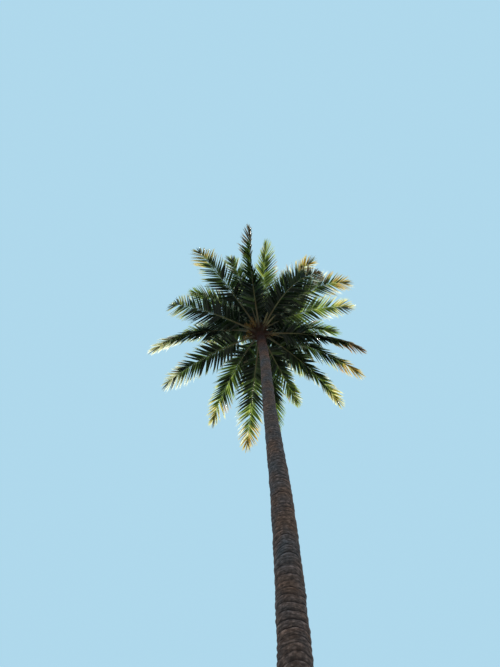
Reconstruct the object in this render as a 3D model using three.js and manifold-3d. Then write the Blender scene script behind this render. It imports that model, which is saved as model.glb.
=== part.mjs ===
// Coconut palm: a swaying trunk cut flat at the ground, a sheathed heart and a crown of feather fronds.
// Millimetres, +Z up, the origin at the centre of the cut under the trunk.
import * as THREE from "three";
import Module from "manifold-3d";

const wasm = await Module();
wasm.setup();

// Trunk
const TRUNK_HEIGHT = 18300;
const TRUNK_SIDES = 16;
const TRUNK_STATIONS = 34;
const SHAFT_RADIUS = 132;
const LOWER_SWELL = 27;
const SWELL_FADE_HEIGHT = 9500;
const SWELL_FADE_LENGTH = 880;
const FLARE_SIZE = 150;
const FLARE_HEIGHT = 300;
const SKIRT_SIZE = 30;
const SKIRT_HEIGHT = 1500;
const BOW_SIZE = 115;
const BOW_LENGTH = 20200;
const SWAY_SIZE = 20.5;
const SWAY_LENGTH = 8450;
const SWAY_PEAK = 7400;

// Heart and spear leaf
const CLEARANCE = 0.3;
const HEART_HEIGHT = 1350;
const HEART_SIDES = 16;
const HEART_SHARES = [0, 0.04, 0.12, 0.22, 0.34, 0.46, 0.58, 0.7, 0.82, 0.92, 1];
const COLLAR_SIZE = 38;
const HEART_TOP_MARGIN = 8;
const SPEAR_LENGTH = 2300;
const SPEAR_RADIUS = 38;
const SPEAR_SIDES = 8;
const SPEAR_SHARES = [0, 0.1, 0.3, 0.55, 0.8, 1];
const SPEAR_TAPER = 0.82;
const SPEAR_LEAN = 160;

// Fronds
const RIB_STEPS = 48;
const DROOP_POWER = 1.4;
const RIB_INSET = 70;
const RIB_WIDTH_BASE = 104;
const RIB_WIDTH_TIP = 11;
const RIB_DEPTH_BASE = 62;
const RIB_DEPTH_TIP = 10;
const LEAFLETS_END = 0.985;
const BARE_STALK_RINGS = 4;
const LEAFLET_PAIRS = 14;
const LEAFLET_SHARE = 0.62;
const LEAFLET_LENGTH = 790;
const LONG_FROND = 8600;
const FIRST_LENGTH_SHARE = 0.62;
const LONGEST_PLACE = 0.3;
const TIP_SHORTENING = 0.34;
const LEAFLET_BEND = 0.52;
const LEAFLET_WIDTH_BASE = 108;
const LEAFLET_WIDTH_TIP = 52;
const LEAFLET_THICKNESS = 9;
const LEAFLET_ANGLE_BASE = 72;
const LEAFLET_ANGLE_TIP = 36;
const HANG_CLOSING = 0.26;
const GATHERING_START = 0.78;
const TIP_GATHERING = 0.55;
const LEAFLET_LIFT_BASE = 14;
const LEAFLET_LIFT_TIP = -12;
const LEAFLET_DROOP = 22;
const LEAFLET_MARGIN = 5;
const TRIAL_STANDOFF = 0.04;

// Each tier: launch and droop in degrees, length, height of the seat on the heart, stoutness of the ribs,
// share of the length that is bare stalk
const TIERS = {
  low: { launch: 10, droop: 80, length: 4300, seat: 150, stout: 1, bare: 0.2 },
  middle: { launch: 32, droop: 92, length: 4400, seat: 430, stout: 0.95, bare: 0.19 },
  upper: { launch: 54, droop: 98, length: 4300, seat: 740, stout: 0.85, bare: 0.15 },
  young: { launch: 73, droop: 42, length: 3300, seat: 1010, stout: 0.65, bare: 0.09 },
};

// Each frond: bearing in degrees, share of the tier's length, sideways sweep, twist, step of the seat,
// degrees raised above the tier's launch, how far its leaflets hang in degrees
const FRONDS = {
  low: [
    [1, 0.85, 14, 14, 0, 6, 80],
    [62, 0.65, -8, -18, 20, 0, 50],
    [97, 0.93, 1, 8, -20, -3, 20],
    [156, 0.89, -3, -16, 0, 5, 25],
    [205, 0.85, 0, -10, 20, -5, 0],
    [261, 0.94, 12, -50, 0, 3, 70],
    [297, 0.81, 45, 20, -20, -4, 0],
  ],
  middle: [
    [22, 0.96, 4, 16, 70, 6, 60],
    [37, 0.91, 12, -32, -70, -6, 62],
    [77, 0.88, 8, 14, 40, 3, 30],
    [121, 0.875, -8, -14, 0, -5, 30],
    [177, 0.94, -20, 10, 20, 5, 70],
    [233, 0.885, 5, -12, 30, -4, 0],
    [317, 0.87, 41, 18, 20, 6, 0],
  ],
  upper: [
    [342, 0.86, 13, -20, -80, -6, 15],
    [10, 0.77, -12, 14, 80, 6, 20],
    [42, 0.64, 4, -10, -80, -7, 30],
    [98, 0.90, -6, 22, 40, 5, 20],
    [173, 0.70, 5, -16, 0, -4, 10],
    [209, 0.73, -8, 12, 60, 6, 10],
    [248, 0.70, 0, -22, -80, -5, 10],
    [277, 0.80, -8, 45, 80, 6, 20],
    [303, 0.79, 14, -14, 0, -3, 0],
  ],
  young: [
    [330, 1.0, 10, 20, 0, -9, 0],
    [240, 0.92, -12, -16, 30, 4, 0],
    [146, 1.0, 8, 18, 0, -5, 0],
    [60, 0.9, -10, -20, 30, 7, 0],
  ],
};

// A spathe's thickness along its length, as share of the length and share of the greatest radius
const SPATHE_PROFILE = [
  [0, 0.42],
  [0.25, 0.46],
  [0.45, 0.8],
  [0.65, 1],
  [0.82, 0.86],
  [0.94, 0.42],
  [1, 0.06],
];
const SPATHE_SIDES = 8;

// Each unopened spathe: bearing, launch, length, greatest radius, seat
const SPATHES = [
  [292, 30, 720, 33, 262],
  [312, 26, 660, 30, 268],
];

// Each flower branch: bearing, launch, length of the stalk, number of sprigs, seat
const FLOWER_BRANCHES = [
  [208, 30, 380, 6, 268],
  [236, 28, 330, 5, 266],
  [160, 24, 420, 6, 262],
  [8, 28, 400, 6, 264],
  [181, 34, 260, 4, 272],
];

const STALK_RADIUS_FOOT = 16;
const STALK_RADIUS_END = 8;
const STALK_SIDES = 6;
const SPRIG_RADIUS = 10;
const SPRIG_SAG = 40;
const SPRIG_LENGTH_FIRST = 230;
const SPRIG_LENGTH_LAST = 170;
const SPRIG_SPREAD_FIRST = 42;
const SPRIG_SPREAD_LAST = 16;
const SPRIGS_START = 0.55;
const SPRIGS_END = 0.96;

const COLOURS = {
  bark: 0x4a403c,
  heart: 0x55402f,
  spear: 0x8a9a4c,
  low: 0x38502a,
  middle: 0x425f2d,
  upper: 0x4c6b31,
  young: 0x5d7a38,
  spathe: 0x84864a,
  flower: 0xb98a3a,
};

const UP = new THREE.Vector3(0, 0, 1);
const radians = THREE.MathUtils.degToRad;
const mix = THREE.MathUtils.lerp;

// Sideways place of the trunk's centre line at a height
function trunkBow(height) {
  const bow = BOW_SIZE * Math.sin((Math.PI * height) / BOW_LENGTH);
  return bow + SWAY_SIZE * Math.cos((2 * Math.PI * (height - SWAY_PEAK)) / SWAY_LENGTH);
}

function trunkOffset(height) {
  return trunkBow(height) - trunkBow(0);
}

// Radius of the trunk: an even shaft, stouter below, with a flared foot
function trunkRadius(height) {
  const swell = LOWER_SWELL / (1 + Math.exp((height - SWELL_FADE_HEIGHT) / SWELL_FADE_LENGTH));
  const flare = FLARE_SIZE * Math.exp(-height / FLARE_HEIGHT);
  const skirt = SKIRT_SIZE * Math.exp(-height / SKIRT_HEIGHT);
  return SHAFT_RADIUS + swell + flare + skirt;
}

const CROWN_X = trunkOffset(TRUNK_HEIGHT);

// Closed solid of rows of points, its two ends closed flat
function loft(rings) {
  const count = rings[0].length;
  const triangles = [];
  for (let k = 0; k + 1 < rings.length; k++) {
    for (let i = 0; i < count; i++) {
      const j = (i + 1) % count;
      const [a, b] = [k * count + i, k * count + j];
      triangles.push(a, b, b + count, a, b + count, a + count);
    }
  }
  const last = (rings.length - 1) * count;
  for (let i = 1; i + 1 < count; i++) {
    triangles.push(0, i + 1, i, last, last + i, last + i + 1);
  }
  return solid(rings.flat(), triangles);
}

function solid(points, triangles) {
  const vertProperties = new Float32Array(points.flatMap((p) => p.toArray()));
  const mesh = new wasm.Mesh({ numProp: 3, vertProperties, triVerts: new Uint32Array(triangles) });
  return new wasm.Manifold(mesh);
}

// Level ring of points about a centre
function levelRing(x, z, radius, sides) {
  return Array.from({ length: sides }, (_, i) => {
    const angle = (2 * Math.PI * i) / sides;
    return new THREE.Vector3(x + radius * Math.cos(angle), radius * Math.sin(angle), z);
  });
}

// Ring of points square to a direction
function turnedRing(centre, along, radius, sides) {
  const side = new THREE.Vector3().crossVectors(UP, along).normalize();
  const over = new THREE.Vector3().crossVectors(along, side);
  return Array.from({ length: sides }, (_, i) => {
    const angle = (2 * Math.PI * i) / sides;
    const point = centre.clone().addScaledVector(side, radius * Math.cos(angle));
    return point.addScaledVector(over, radius * Math.sin(angle));
  });
}

// Heights of the trunk's rings, closer together in the flared foot
function trunkHeights() {
  return Array.from({ length: TRUNK_STATIONS }, (_, i) => {
    const share = i / (TRUNK_STATIONS - 1);
    return TRUNK_HEIGHT * share * mix(0.12, 1, share ** 0.55);
  });
}

function makeTrunk() {
  return loft(trunkHeights().map((z) => levelRing(trunkOffset(z), z, trunkRadius(z), TRUNK_SIDES)));
}

// Heart: wide where the oldest leaf bases clasp it, drawn in to the spear leaf
function heartRadius(rise) {
  const share = rise / HEART_HEIGHT;
  const collar = COLLAR_SIZE * Math.sin(Math.PI * Math.min(1, share * 1.2) ** 0.75);
  return mix(SHAFT_RADIUS, SPEAR_RADIUS + HEART_TOP_MARGIN, share ** 2.6) + collar;
}

function makeHeart(growth) {
  const rings = HEART_SHARES.map((share) => {
    const rise = share * HEART_HEIGHT;
    const z = TRUNK_HEIGHT + CLEARANCE + rise;
    return levelRing(CROWN_X, z, heartRadius(rise) + growth, HEART_SIDES);
  });
  return loft(rings);
}

// Spear leaf: the closed new frond that stands on the heart
function makeSpear() {
  const foot = TRUNK_HEIGHT + HEART_HEIGHT + 2 * CLEARANCE;
  const rings = SPEAR_SHARES.map((share) => {
    const radius = SPEAR_RADIUS * (1 - SPEAR_TAPER * share ** 1.3);
    return levelRing(CROWN_X + SPEAR_LEAN * share * share, foot + share * SPEAR_LENGTH, radius, SPEAR_SIDES);
  });
  return loft(rings);
}

// Course of a rib: points and frames from the heart outward
function ribCourse(frond) {
  const bearing = radians(frond.bearing);
  const start = new THREE.Vector3(Math.cos(bearing), Math.sin(bearing), 0).multiplyScalar(RIB_INSET);
  start.add(new THREE.Vector3(CROWN_X, 0, TRUNK_HEIGHT + frond.seat));
  const points = [start];
  for (let i = 0; i < RIB_STEPS; i++) {
    const along = ribDirection(frond, (i + 0.5) / RIB_STEPS);
    points.push(points[i].clone().addScaledVector(along, frond.length / RIB_STEPS));
  }
  return points;
}

function ribDirection(frond, share) {
  const rise = radians(frond.launch - frond.droop * share ** DROOP_POWER);
  const turn = radians(frond.bearing + frond.sweep * share * share);
  const level = Math.cos(rise);
  return new THREE.Vector3(level * Math.cos(turn), level * Math.sin(turn), Math.sin(rise));
}

// Point and frame at a share of the rib's length, turned by the frond's twist
function ribFrame(frond, share) {
  const place = Math.min(share * RIB_STEPS, RIB_STEPS - 1e-6);
  const low = Math.floor(place);
  const point = frond.course[low].clone().lerp(frond.course[low + 1], place - low);
  const along = ribDirection(frond, share);
  const turn = radians(frond.bearing + frond.sweep * share * share);
  const side = new THREE.Vector3(-Math.sin(turn), Math.cos(turn), 0);
  side.applyAxisAngle(along, radians(frond.twist * share * share));
  const over = new THREE.Vector3().crossVectors(along, side);
  return { point, along, side, over };
}

function ribWidth(frond, share) {
  return frond.stout * mix(RIB_WIDTH_BASE, RIB_WIDTH_TIP, Math.min(1, share / 0.9) ** 0.45);
}

function ribDepth(frond, share) {
  return frond.stout * mix(RIB_DEPTH_BASE, RIB_DEPTH_TIP, Math.min(1, share / 0.95) ** 0.6);
}

// Three corners of the rib: keel below, left and right edges above
function ribCorners(frond, share) {
  const { point, side, over } = ribFrame(frond, share);
  const [width, depth] = [ribWidth(frond, share), ribDepth(frond, share)];
  const keel = point.clone().addScaledVector(over, -0.6 * depth);
  const left = point.clone().addScaledVector(side, width / 2).addScaledVector(over, 0.4 * depth);
  const right = point.clone().addScaledVector(side, -width / 2).addScaledVector(over, 0.4 * depth);
  return [keel, right, left];
}

// Shares of the rib's length where its corners stand: bare stalk, then two for each pair of leaflets
function ribShares(bare) {
  const shares = Array.from({ length: BARE_STALK_RINGS }, (_, i) => (bare * i) / BARE_STALK_RINGS);
  const pitch = (LEAFLETS_END - bare) / LEAFLET_PAIRS;
  for (let i = 0; i < LEAFLET_PAIRS; i++) {
    shares.push(bare + i * pitch, bare + (i + LEAFLET_SHARE) * pitch);
  }
  shares.push(1);
  return shares;
}

// Length of a leaflet as share of the longest, by its place between the bare stalk and the tip
function leafletLength(leafy) {
  const growth = Math.sin((Math.PI / 2) * Math.min(1, leafy / LONGEST_PLACE));
  if (leafy < LONGEST_PLACE) return mix(FIRST_LENGTH_SHARE, 1, growth);
  return 1 - TIP_SHORTENING * ((leafy - LONGEST_PLACE) / (1 - LONGEST_PLACE)) ** 2;
}

// Angle between leaflet and rib, which closes quickly at the very tip so that no notch is left there
function leafletAngle(frond, leafy) {
  const tip = LEAFLET_ANGLE_TIP - HANG_CLOSING * frond.hang;
  const closing = Math.max(0, (leafy - GATHERING_START) / (1 - GATHERING_START)) ** 1.5;
  return mix(LEAFLET_ANGLE_BASE, tip, leafy ** 0.75) * (1 - TIP_GATHERING * closing);
}

// Lift of a leaflet above the rib's own plane: the leaflets of a hanging frond drop most at its middle
function leafletLift(frond, leafy) {
  return mix(LEAFLET_LIFT_BASE, LEAFLET_LIFT_TIP, leafy) - frond.hang * Math.sin(Math.PI * leafy ** 0.8);
}

// One leaflet: corners at its middle, and the upper and lower point of its tip
function leafletShape(frond, station, hand, reach, tilt) {
  const share = (frond.shares[station] + frond.shares[station + 1]) / 2;
  const leafy = (share - frond.bare) / (LEAFLETS_END - frond.bare);
  const { point, along, side, over } = ribFrame(frond, share);
  const angle = radians(leafletAngle(frond, leafy));
  const lift = radians(leafletLift(frond, leafy) + tilt);
  const outward = side.clone().multiplyScalar(hand * Math.cos(lift)).addScaledVector(over, Math.sin(lift));
  const direction = along.clone().multiplyScalar(Math.cos(angle)).addScaledVector(outward, Math.sin(angle));
  const length = reach * LEAFLET_LENGTH * leafletLength(leafy) * (0.5 + frond.length / LONG_FROND);
  const hanging = direction.clone().addScaledVector(UP, -Math.tan(radians(LEAFLET_DROOP))).normalize();
  const root = point.clone().addScaledVector(side, (hand * ribWidth(frond, share)) / 4);
  const middle = root.clone().addScaledVector(direction, LEAFLET_BEND * length);
  const tip = middle.clone().addScaledVector(hanging, (1 - LEAFLET_BEND) * length);
  const across = along.clone().addScaledVector(direction, -along.dot(direction)).normalize();
  const above = new THREE.Vector3().crossVectors(direction, across).multiplyScalar(-hand);
  const width = mix(LEAFLET_WIDTH_BASE, LEAFLET_WIDTH_TIP, leafy) * mix(0.6, 1, reach);
  return { root, middle, tip, across, above, width };
}

// Four corners at a point of the blade, going round it as seen from its tip
function bladeCorners(centre, shape, hand, margin) {
  const half = shape.width / 2 + margin;
  const thick = LEAFLET_THICKNESS / 2 + margin;
  const corner = (front, top) =>
    centre.clone().addScaledVector(shape.across, front * half).addScaledVector(shape.above, top * thick);
  if (hand > 0) return [corner(-1, -1), corner(-1, 1), corner(1, 1), corner(1, -1)];
  return [corner(-1, -1), corner(1, -1), corner(1, 1), corner(-1, 1)];
}

function tipPoints(shape, margin) {
  const thick = LEAFLET_THICKNESS / 2 + margin;
  const end = shape.tip;
  return [end.clone().addScaledVector(shape.above, -thick), end.clone().addScaledVector(shape.above, thick)];
}

// Which point of the tip each corner runs to
function tipOfCorner(hand) {
  return hand > 0 ? [0, 1, 1, 0] : [0, 0, 1, 1];
}

// Triangles from a loop of four corners out to the leaflet's middle and on to its tip
function leafletTriangles(loop, middle, tip, hand) {
  const triangles = [];
  const ends = tipOfCorner(hand);
  for (let i = 0; i < 4; i++) {
    const j = (i + 1) % 4;
    triangles.push(loop[i], loop[j], middle[j], loop[i], middle[j], middle[i]);
    triangles.push(middle[i], middle[j], tip[ends[j]]);
    if (ends[i] !== ends[j]) triangles.push(middle[i], tip[ends[j]], tip[ends[i]]);
  }
  return triangles;
}

// Four corners of the rib's side face that a leaflet is drawn out of
function faceCorners(frond, station, hand) {
  const [keel, right, left] = ribCorners(frond, frond.shares[station]);
  const [nextKeel, nextRight, nextLeft] = ribCorners(frond, frond.shares[station + 1]);
  return hand > 0 ? [keel, left, nextLeft, nextKeel] : [keel, nextKeel, nextRight, right];
}

// Stand-in of a leaflet, a little larger all round, to try its place with
function leafletTrial(frond, station, shape, hand) {
  const middle = bladeCorners(shape.middle, shape, hand, LEAFLET_MARGIN);
  const foot = faceCorners(frond, station, hand).map((corner, i) => corner.lerp(middle[i], TRIAL_STANDOFF));
  const points = [...foot, ...middle, ...tipPoints(shape, LEAFLET_MARGIN)];
  const triangles = leafletTriangles([0, 1, 2, 3], [4, 5, 6, 7], [8, 9], hand);
  return solid(points, [0, 3, 2, 0, 2, 1, ...triangles]);
}

function boxesMeet(a, b) {
  return [0, 1, 2].every((k) => a.min[k] <= b.max[k] && b.min[k] <= a.max[k]);
}

function asObstacle(body, owner) {
  return { body, owner, box: body.boundingBox() };
}

function standsClear(trial, obstacles, owner) {
  const box = trial.boundingBox();
  return obstacles.every((other) => {
    if (other.owner === owner || !boxesMeet(box, other.box)) return true;
    const shared = trial.intersect(other.body);
    const clear = shared.isEmpty();
    shared.delete();
    return clear;
  });
}

// Ways a leaflet is tried, as share of its length and tilt: the first that stands clear is kept
const TRIALS = [
  [1, 0],
  [1, 12],
  [1, -12],
  [0.8, 0],
  [0.8, 18],
  [0.8, -18],
  [0.6, 0],
  [0.6, 20],
  [0.6, -20],
  [0.4, 0],
];

function placeLeaflet(frond, station, hand, obstacles) {
  for (const [reach, tilt] of TRIALS) {
    const shape = leafletShape(frond, station, hand, reach, tilt);
    const trial = leafletTrial(frond, station, shape, hand);
    if (standsClear(trial, obstacles, frond)) {
      obstacles.push(asObstacle(trial, null));
      return shape;
    }
    trial.delete();
  }
  return null;
}

// Leaflets that find a place, keyed by station and hand
function placeLeaflets(frond, obstacles) {
  const placed = new Map();
  for (let i = 0; i < LEAFLET_PAIRS; i++) {
    const station = BARE_STALK_RINGS + 2 * i;
    for (const hand of [1, -1]) {
      const shape = placeLeaflet(frond, station, hand, obstacles);
      if (shape) placed.set(station * hand, shape);
    }
  }
  return placed;
}

// Frond as one closed surface: a keeled rib, with each leaflet drawn out of a side face
function makeFrond(frond, placed) {
  const { shares } = frond;
  const points = shares.flatMap((share) => ribCorners(frond, share));
  const triangles = [];
  for (let k = 0; k + 1 < shares.length; k++) {
    const [keel, right, left] = [3 * k, 3 * k + 1, 3 * k + 2];
    triangles.push(left, right, right + 3, left, right + 3, left + 3);
    addSide(points, triangles, [keel, left, left + 3, keel + 3], placed.get(k), 1);
    addSide(points, triangles, [keel, keel + 3, right + 3, right], placed.get(-k), -1);
  }
  const last = 3 * (shares.length - 1);
  triangles.push(0, 1, 2, last, last + 2, last + 1);
  return solid(points, triangles);
}

// Side face of the rib, plain or drawn out into a leaflet
function addSide(points, triangles, loop, shape, hand) {
  if (!shape) {
    const [a, b, c, d] = loop;
    triangles.push(a, b, c, a, c, d);
    return;
  }
  const start = points.length;
  points.push(...bladeCorners(shape.middle, shape, hand, 0), ...tipPoints(shape, 0));
  const middle = [start, start + 1, start + 2, start + 3];
  triangles.push(...leafletTriangles(loop, middle, [start + 4, start + 5], hand));
}

// All fronds with their tier's measures worked in
function listFronds() {
  return Object.entries(FRONDS).flatMap(([tier, rows]) =>
    rows.map(([bearing, reach, sweep, twist, step, lifted, hang], i) => {
      const measures = TIERS[tier];
      const name = `frond_${tier}_${i + 1}`;
      const frond = { ...measures, name, tier, bearing, sweep, twist, hang };
      frond.length = measures.length * reach;
      frond.launch = measures.launch + lifted;
      frond.seat = measures.seat + step;
      frond.shares = ribShares(measures.bare);
      frond.course = ribCourse(frond);
      return frond;
    }),
  );
}

// Straight direction from a bearing and a launch angle
function heading(bearing, launch) {
  const level = Math.cos(radians(launch));
  const [x, y] = [Math.cos(radians(bearing)), Math.sin(radians(bearing))];
  return new THREE.Vector3(level * x, level * y, Math.sin(radians(launch)));
}

// Point inside the heart where a stalk of this bearing and seat starts
function seatPoint(bearing, seat) {
  const axis = new THREE.Vector3(CROWN_X, 0, TRUNK_HEIGHT + seat);
  return axis.addScaledVector(heading(bearing, 0), RIB_INSET);
}

// Spathe: a club on a stalk, pointed at its end
function makeSpathe([bearing, launch, length, radius, seat]) {
  const along = heading(bearing, launch);
  const start = seatPoint(bearing, seat);
  const rings = SPATHE_PROFILE.map(([share, thickness]) => {
    const centre = start.clone().addScaledVector(along, share * (length + RIB_INSET));
    return turnedRing(centre, along, radius * thickness, SPATHE_SIDES);
  });
  return loft(rings);
}

function makeSprig(start, along, length) {
  const rings = [0, 1].map((share) => {
    const centre = start.clone().addScaledVector(along, share * length);
    return turnedRing(centre.addScaledVector(UP, -SPRIG_SAG * share), along, SPRIG_RADIUS, 3);
  });
  return loft(rings);
}

// Flower branch: a stalk with sprigs that spread from its outer half
function makeFlowerBranch([bearing, launch, length, sprigs, seat]) {
  const along = heading(bearing, launch);
  const start = seatPoint(bearing, seat);
  const side = new THREE.Vector3().crossVectors(UP, along).normalize();
  const over = new THREE.Vector3().crossVectors(along, side);
  const rings = [0, 1].map((share) => {
    const centre = start.clone().addScaledVector(along, share * (length + RIB_INSET));
    return turnedRing(centre, along, mix(STALK_RADIUS_FOOT, STALK_RADIUS_END, share), STALK_SIDES);
  });
  let branch = loft(rings);
  for (let i = 0; i < sprigs; i++) {
    const share = mix(SPRIGS_START, SPRIGS_END, i / (sprigs - 1));
    const spread = (i % 2 ? 1 : -1) * mix(SPRIG_SPREAD_FIRST, SPRIG_SPREAD_LAST, i / (sprigs - 1));
    const direction = along.clone().applyAxisAngle(over, radians(spread));
    const root = start.clone().addScaledVector(along, share * (length + RIB_INSET));
    branch = branch.add(makeSprig(root, direction, mix(SPRIG_LENGTH_FIRST, SPRIG_LENGTH_LAST, share)));
  }
  return branch;
}

function material(colour, roughness) {
  return new THREE.MeshStandardMaterial({ color: colour, roughness, metalness: 0 });
}

// Named mesh of a solid
function meshOf(name, body, colour, roughness) {
  const { vertProperties, triVerts, numProp } = body.getMesh();
  const positions = new Float32Array((vertProperties.length / numProp) * 3);
  for (let i = 0; i < positions.length / 3; i++) {
    positions.set(vertProperties.subarray(i * numProp, i * numProp + 3), i * 3);
  }
  const geometry = new THREE.BufferGeometry();
  geometry.setAttribute("position", new THREE.BufferAttribute(positions, 3));
  geometry.setIndex(new THREE.BufferAttribute(triVerts, 1));
  geometry.computeVertexNormals();
  const mesh = new THREE.Mesh(geometry, material(colour, roughness));
  mesh.name = name;
  return mesh;
}

// The whole palm as a group of named meshes
function buildPalm() {
  const palm = new THREE.Group();
  const heart = makeHeart(0);
  const socket = makeHeart(CLEARANCE);
  const fixed = { trunk: makeTrunk(), crown_heart: heart, spear_leaf: makeSpear() };
  const spathes = SPATHES.map((row) => makeSpathe(row).subtract(socket));
  const flowers = FLOWER_BRANCHES.map((row) => makeFlowerBranch(row).subtract(socket));
  const fronds = listFronds();
  const still = [...Object.values(fixed), ...spathes, ...flowers].map((body) => asObstacle(body, null));
  const ribs = fronds.map((frond) => asObstacle(makeFrond(frond, new Map()), frond));
  const obstacles = [...still, ...ribs];
  palm.add(meshOf("trunk", fixed.trunk, COLOURS.bark, 0.95));
  palm.add(meshOf("crown_heart", heart, COLOURS.heart, 0.95));
  palm.add(meshOf("spear_leaf", fixed.spear_leaf, COLOURS.spear, 0.6));
  spathes.forEach((body, i) => palm.add(meshOf(`spathe_${i + 1}`, body, COLOURS.spathe, 0.6)));
  flowers.forEach((body, i) => palm.add(meshOf(`flower_branch_${i + 1}`, body, COLOURS.flower, 0.8)));
  for (const frond of fronds) {
    const body = makeFrond(frond, placeLeaflets(frond, obstacles)).subtract(socket);
    palm.add(meshOf(frond.name, body, COLOURS[frond.tier], 0.6));
  }
  return palm;
}

export default buildPalm();
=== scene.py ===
import math

import bpy
import numpy as np
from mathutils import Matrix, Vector


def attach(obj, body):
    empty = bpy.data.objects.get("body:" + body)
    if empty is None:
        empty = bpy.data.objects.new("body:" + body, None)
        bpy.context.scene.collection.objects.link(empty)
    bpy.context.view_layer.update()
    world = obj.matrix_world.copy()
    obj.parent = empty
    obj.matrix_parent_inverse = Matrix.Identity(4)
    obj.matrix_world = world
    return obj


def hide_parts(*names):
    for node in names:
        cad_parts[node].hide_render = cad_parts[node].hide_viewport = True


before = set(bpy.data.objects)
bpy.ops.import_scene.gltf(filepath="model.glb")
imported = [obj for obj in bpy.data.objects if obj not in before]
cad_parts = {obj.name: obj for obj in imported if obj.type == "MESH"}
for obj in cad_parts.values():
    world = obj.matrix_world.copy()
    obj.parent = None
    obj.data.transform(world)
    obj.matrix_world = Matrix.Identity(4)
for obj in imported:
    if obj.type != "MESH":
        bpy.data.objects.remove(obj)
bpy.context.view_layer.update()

# Everything is in metres, +Z up, with the origin at the centre of the cut under the trunk.
SEED = 20
# Each use of the seed has a number of its own; for tints and clasps the frond's place in the list is added
LEAFLET_SEED = 7
SHADE_SEED = 40
SPEAR_SEED = 60
OWN_TINT_SEED = 80
FLOWER_SEED = 90
STRAW_AND_HIGHLIGHT_SEED = 120
ASH_AND_SHEEN_SEED = 160
CLASP_SEED = 200

WANDER_WAVES = 5
WANDER_LEVEL = 1.6
GOLDEN_ANGLE = 2.399

# Trunk
TRUNK_HEIGHT = 18.3
SHAFT_RADIUS = 0.132
LOWER_SWELL = 0.027
SWELL_FADE_HEIGHT = 9.5
SWELL_FADE_LENGTH = 0.88
FLARE_SIZE = 0.150
FLARE_HEIGHT = 0.300
SKIRT_SIZE = 0.030
SKIRT_HEIGHT = 1.5
BOW_SIZE = 0.115
BOW_LENGTH = 20.2
SWAY_SIZE = 0.0205
SWAY_LENGTH = 8.45
SWAY_PEAK = 7.4
TRUNK_COLUMNS = 54
SCAR_PITCH_LOW = 0.135
SCAR_PITCH_HIGH = 0.085
SCAR_DEPTH = 0.0085
RING_RAGGEDNESS = 0.16
FOOT_FADE = 0.45
FOOT_SMOOTHING = 0.7
LOBE_SIZE = 0.020
FURROW_SIZE = 0.012
FURROWS = 9
FURROW_WAVER = 2.2
HEIGHT_SAMPLES = 6000
FOOT_ROWS = 10
TOP_ROWS = 4
# Scars tilt one way, which turns round the trunk with height and sways as it turns
SCAR_TILT = 0.20
TILT_TURNING = 1.9
TILT_SWAY = 2.1
TILT_SWAY_PACE = 0.9
# Parts of a ring where its rows of points stand, close together at the groove that ends it
RING_PARTS = [0.0, 0.12, 0.3, 0.5, 0.66, 0.76, 0.84, 0.9, 0.94, 0.97]
# Height of the lip and of the groove in scar depths, its place in the ring, its width
SCAR_LIP = (0.9, 0.80, 0.11)
SCAR_GROOVE = (1.1, 0.97, 0.035)
SCAR_SLOPE = 0.5
SCAR_EVENNESS = 0.62
LUMP_SIZE = 0.0035
STEP_SIZE = 0.0025

# Waves over the skin of the trunk or heart: size, times round, radians per metre of height, start
SCAR_WAVES = [(0.12, 2, -3.7, 1.3), (0.07, 3, 5.1, 0)]
SCAR_CROWDING = [(0.40, 0, 3.3, 0), (0.22, 0, 8.1, 0.6)]
BARK_LUMPS = [(0.0022, 5, -7.7, 0), (0.0012, 11, 17, 0)]
ROOT_LOBES = [(0.5, 5, 0, 0.8), (0.35, 8, 1.5, 2.6), (0.2, 13, 0, 0)]
HEART_LUMPS = [(0.006, 9, 6, 0), (0.004, 17, -21, 0)]

# Heart and spear leaf
HEART_HEIGHT = 1.35
HEART_TAPER = 2.6
HEART_MARGIN = 0.008
COLLAR_SIZE = 0.038
HEART_ROWS = 90
HEART_COLUMNS = 64
SPEAR_LENGTH = 2.3
SPEAR_RADIUS = 0.038
SPEAR_LEAN = 0.160
SPEAR_NARROWING = 0.82
SPEAR_ROWS = 80
SPEAR_COLUMNS = 40
PLEATS = 8
PLEAT_DEPTH = 0.16
SPEAR_BLADES = 90
SPEAR_BLADE_LENGTH = 0.5
CLASP_LENGTH = 0.34
CLASP_WIDTH = 0.13
CLASP_START = 0.7
CLASP_ROOT = 0.40
CLASP_TAPER = 1.1
CLASP_RAGGEDNESS = 0.35
CLASP_ROWS = 12
CLASP_COLUMNS = 5

# Fronds
RIB_STEPS = 48
DROOP_POWER = 1.4
RIB_INSET = 0.07
RIB_WIDTH_BASE = 0.104
RIB_WIDTH_TIP = 0.011
RIB_DEPTH_BASE = 0.062
RIB_DEPTH_TIP = 0.010
RIB_FOOT_SWELL = 0.75
RIB_FOOT_SHARE = 0.03
# Shares of the rib at which its rows stand, closer together in the stalk's foot
RIB_ROWS = np.concatenate([np.linspace(0, 0.16, 33), np.linspace(0.175, 1, 56)])
# Section in widths and depths: a keeled underside and a flat, slightly hollow top
RIB_SECTION = [(-0.5, 0.36), (-0.25, 0.22), (0.25, 0.22), (0.5, 0.36), (0.46, 0.0), (0.22, -0.42)]
RIB_SECTION += [(0.0, -0.56), (-0.22, -0.42), (-0.46, 0.0)]
# Skins from the heart outward, the shares of the length where they change, and how much further out
# they change along the keel than on top
# The first skins carry the darkened petiole tones, painted shade near the heart
RIB_SKINS = ("petiole_base", "petiole_foot", "petiole", "rib", "rib_end")
SKIN_CHANGES = (0.035, 0.075, 0.24, 0.80)
SKIN_LAG = 0.05

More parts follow.
